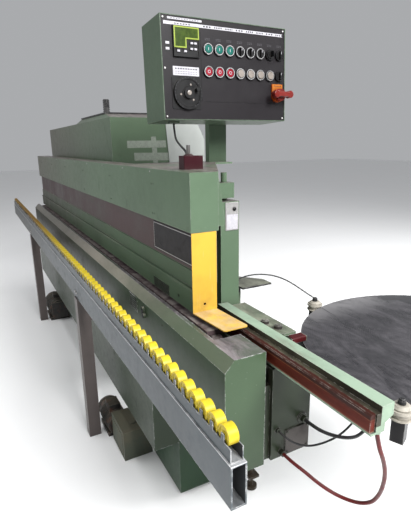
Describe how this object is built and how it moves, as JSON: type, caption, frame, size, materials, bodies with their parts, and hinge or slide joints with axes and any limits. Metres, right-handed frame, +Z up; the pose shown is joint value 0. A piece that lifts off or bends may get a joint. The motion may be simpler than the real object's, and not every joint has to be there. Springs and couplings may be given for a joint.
{
  "type": "edge banding machine",
  "caption": "Through-feed edge banding machine with a chain-fed bed, pressure beam, roller support rail, edging coil disc and raised control panel.",
  "frame": {"origin": "on the floor, at the middle of the sole of the pedestal foot nearest the operator at the infeed end", "axes": "+X along the feed line towards the infeed end, -Y towards the operator's side, +Z up"},
  "size_m": [4.9919, 1.2753, 1.9286],
  "materials": {
    "green_paint": "semi-gloss enamel, worn",
    "dark_green_paint": "semi-gloss enamel",
    "mint_paint": "satin enamel, chipped",
    "grey_paint": "satin enamel",
    "charcoal_paint": "satin",
    "yellow_paint": "satin enamel, scuffed",
    "maroon_paint": "gloss enamel",
    "black_paint": "satin enamel, smeared",
    "motor_iron": "painted, oily",
    "galvanised_steel": "dull zinc",
    "leg_paint": "worn satin enamel",
    "machined_steel": "ground",
    "chain_rubber": "worn rubber pads",
    "black_rubber": "smooth",
    "red_rubber": "smooth",
    "yellow_plastic": "moulded",
    "white_plastic": "turned nylon",
    "black_plastic": "moulded",
    "green_plastic": "moulded",
    "red_plastic": "moulded",
    "cream_plastic": "moulded lens",
    "orange_plastic": "moulded"
  },
  "bodies": {
    "machine_frame": {"bed_front_cover": "green_paint", "bed_frame": "dark_green_paint", "end_panel": "green_paint", "pedestals": "green_paint", "feed_chain": "chain_rubber", "lift_columns": "green_paint", "rear_table": "green_paint", "disc_stand": "black_paint", "rail_tube": "galvanised_steel", "rail_wheels": "yellow_plastic", "rail_legs": "leg_paint", "floor_motors": "motor_iron", "rear_cabinet": "green_paint", "upper_enclosure": "green_paint", "grey_panel": "grey_paint", "glue_pot": "black_paint", "trim_heads": "motor_iron", "drive_cable": "black_rubber", "sensor_cable": "black_rubber", "air_hose": "red_rubber"},
    "pressure_beam": {"beam_hood": "green_paint", "beam_rail": "green_paint", "name_plate": "charcoal_paint", "entry_guard": "yellow_paint", "pressure_rollers": "black_rubber", "switch_box": "maroon_paint", "panel_cable": "black_rubber", "panel_post": "green_paint", "panel_box": "green_paint", "panel_fascia": "charcoal_paint", "display_module": "black_plastic", "panel_lamps": "cream_plastic", "main_switch_base": "orange_plastic"},
    "infeed_fence": {"infeed_fence": "mint_paint"},
    "coil_disc": {"coil_disc": "black_paint"},
    "idler_sprocket": {"idler_sprocket": "machined_steel"},
    "drive_sprocket": {"drive_sprocket": "machined_steel"},
    "glue_roller": {"glue_roller": "machined_steel"},
    "infeed_wheel": {"infeed_wheel": "yellow_plastic"},
    "rear_door": {"rear_door": "green_paint"},
    "enclosure_lid": {"enclosure_lid": "dark_green_paint"},
    "height_knob": {"height_knob": "machined_steel"},
    "speed_dial": {"speed_dial": "black_plastic"},
    "main_switch_knob": {"main_switch_knob": "red_plastic"},
    "key_switch": {"key_switch": "black_plastic"},
    "rim_roller_1": {"rim_roller_1": "white_plastic"},
    "rim_roller_2": {"rim_roller_2": "white_plastic"},
    "rim_roller_3": {"rim_roller_3": "white_plastic"},
    "rim_roller_4": {"rim_roller_4": "white_plastic"},
    "start_button_1": {"start_button_1": "green_plastic"},
    "stop_button_1": {"stop_button_1": "red_plastic"},
    "start_button_2": {"start_button_2": "green_plastic"},
    "stop_button_2": {"stop_button_2": "red_plastic"},
    "start_button_3": {"start_button_3": "green_plastic"},
    "stop_button_3": {"stop_button_3": "red_plastic"},
    "mode_selector_1": {"mode_selector_1": "black_plastic"},
    "mode_selector_2": {"mode_selector_2": "black_plastic"},
    "mode_selector_3": {"mode_selector_3": "black_plastic"},
    "mode_selector_4": {"mode_selector_4": "black_plastic"},
    "mode_selector_5": {"mode_selector_5": "black_plastic"}
  },
  "joints": [
    {"name": "beam_lift", "type": "slide", "parent": "machine_frame", "child": "pressure_beam", "axis": [0, 0, 1], "range_m": [0, 0.045]},
    {"name": "fence_adjust", "type": "slide", "parent": "machine_frame", "child": "infeed_fence", "axis": [0, 1, 0], "range_m": [-0.003, 0.003]},
    {"name": "disc_spin", "type": "hinge", "parent": "machine_frame", "child": "coil_disc", "pos_m": [0.752, 0.532, 0.876], "axis": [0, 0, 1], "continuous": true},
    {"name": "idler_spin", "type": "hinge", "parent": "machine_frame", "child": "idler_sprocket", "pos_m": [0.42, -0.084, 0.875], "axis": [0, 1, 0], "continuous": true},
    {"name": "drive_spin", "type": "hinge", "parent": "machine_frame", "child": "drive_sprocket", "pos_m": [-2.88, -0.084, 0.875], "axis": [0, 1, 0], "continuous": true},
    {"name": "glue_roller_spin", "type": "hinge", "parent": "machine_frame", "child": "glue_roller", "pos_m": [-1.13, 0.052, 0.95], "axis": [0, 0, 1], "continuous": true},
    {"name": "wheel_spin", "type": "hinge", "parent": "machine_frame", "child": "infeed_wheel", "pos_m": [0.8385, -0.2785, 0.908], "axis": [0, 1, 0], "continuous": true},
    {"name": "door_swing", "type": "hinge", "parent": "machine_frame", "child": "rear_door", "pos_m": [-0.998, 0.632, 0.54], "axis": [0, 0, 1], "range_deg": [-110, 0]},
    {"name": "lid_swing", "type": "hinge", "parent": "machine_frame", "child": "enclosure_lid", "pos_m": [-1.495, 0.492, 1.657], "axis": [1, 0, 0], "range_deg": [-95, 0]},
    {"name": "knob_turn", "type": "hinge", "parent": "pressure_beam", "child": "height_knob", "pos_m": [0.15, -0.023, 1.44], "axis": [0, 0, 1], "range_deg": [-360, 360]},
    {"name": "dial_turn", "type": "hinge", "parent": "pressure_beam", "child": "speed_dial", "pos_m": [-0.1239, 0.112, 1.65792], "axis": [0.9992, 0, 0.0398], "range_deg": [-150, 150]},
    {"name": "main_switch_turn", "type": "hinge", "parent": "pressure_beam", "child": "main_switch_knob", "pos_m": [-0.1241, 0.532, 1.66292], "axis": [0.9992, 0, 0.0398], "range_deg": [-90, 0]},
    {"name": "key_turn", "type": "hinge", "parent": "pressure_beam", "child": "key_switch", "pos_m": [-0.1304, 0.4954, 1.82129], "axis": [0.9992, 0, 0.0398], "range_deg": [0, 90]},
    {"name": "rim_roller_spin_1", "type": "hinge", "parent": "machine_frame", "child": "rim_roller_1", "pos_m": [0.3231, 0.40087, 0.88], "axis": [0, 0, 1], "continuous": true},
    {"name": "rim_roller_spin_2", "type": "hinge", "parent": "machine_frame", "child": "rim_roller_2", "pos_m": [0.92724, 0.11915, 0.88], "axis": [0, 0, 1], "continuous": true},
    {"name": "rim_roller_spin_3", "type": "hinge", "parent": "machine_frame", "child": "rim_roller_3", "pos_m": [1.1809, 0.66313, 0.88], "axis": [0, 0, 1], "continuous": true},
    {"name": "rim_roller_spin_4", "type": "hinge", "parent": "machine_frame", "child": "rim_roller_4", "pos_m": [0.57676, 0.94485, 0.88], "axis": [0, 0, 1], "continuous": true},
    {"name": "start_press_1", "type": "slide", "parent": "pressure_beam", "child": "start_button_1", "axis": [-0.9992, 0, -0.0398], "range_m": [0, 0.004], "stiffness_N_per_m": 400},
    {"name": "stop_press_1", "type": "slide", "parent": "pressure_beam", "child": "stop_button_1", "axis": [-0.9992, 0, -0.0398], "range_m": [0, 0.004], "stiffness_N_per_m": 400},
    {"name": "start_press_2", "type": "slide", "parent": "pressure_beam", "child": "start_button_2", "axis": [-0.9992, 0, -0.0398], "range_m": [0, 0.004], "stiffness_N_per_m": 400},
    {"name": "stop_press_2", "type": "slide", "parent": "pressure_beam", "child": "stop_button_2", "axis": [-0.9992, 0, -0.0398], "range_m": [0, 0.004], "stiffness_N_per_m": 400},
    {"name": "start_press_3", "type": "slide", "parent": "pressure_beam", "child": "start_button_3", "axis": [-0.9992, 0, -0.0398], "range_m": [0, 0.004], "stiffness_N_per_m": 400},
    {"name": "stop_press_3", "type": "slide", "parent": "pressure_beam", "child": "stop_button_3", "axis": [-0.9992, 0, -0.0398], "range_m": [0, 0.004], "stiffness_N_per_m": 400},
    {"name": "mode_turn_1", "type": "hinge", "parent": "pressure_beam", "child": "mode_selector_1", "pos_m": [-0.1304, 0.3502, 1.82129], "axis": [0.9992, 0, 0.0398], "range_deg": [-45, 45]},
    {"name": "mode_turn_2", "type": "hinge", "parent": "pressure_beam", "child": "mode_selector_2", "pos_m": [-0.1304, 0.3986, 1.82129], "axis": [0.9992, 0, 0.0398], "range_deg": [-45, 45]},
    {"name": "mode_turn_3", "type": "hinge", "parent": "pressure_beam", "child": "mode_selector_3", "pos_m": [-0.1304, 0.447, 1.82129], "axis": [0.9992, 0, 0.0398], "range_deg": [-45, 45]},
    {"name": "mode_turn_4", "type": "hinge", "parent": "pressure_beam", "child": "mode_selector_4", "pos_m": [-0.1304, 0.5438, 1.82129], "axis": [0.9992, 0, 0.0398], "range_deg": [-45, 45]},
    {"name": "mode_turn_5", "type": "hinge", "parent": "pressure_beam", "child": "mode_selector_5", "pos_m": [-0.12716, 0.5438, 1.73986], "axis": [0.9992, 0, 0.0398], "range_deg": [-45, 45]}
  ],
  "couplings": [
    {"joint": "drive_spin", "follows": "idler_spin", "ratio": 1},
    {"joint": "rim_roller_spin_1", "follows": "disc_spin", "ratio": -19.364},
    {"joint": "rim_roller_spin_2", "follows": "disc_spin", "ratio": -19.364},
    {"joint": "rim_roller_spin_3", "follows": "disc_spin", "ratio": -19.364},
    {"joint": "rim_roller_spin_4", "follows": "disc_spin", "ratio": -19.364}
  ]
}
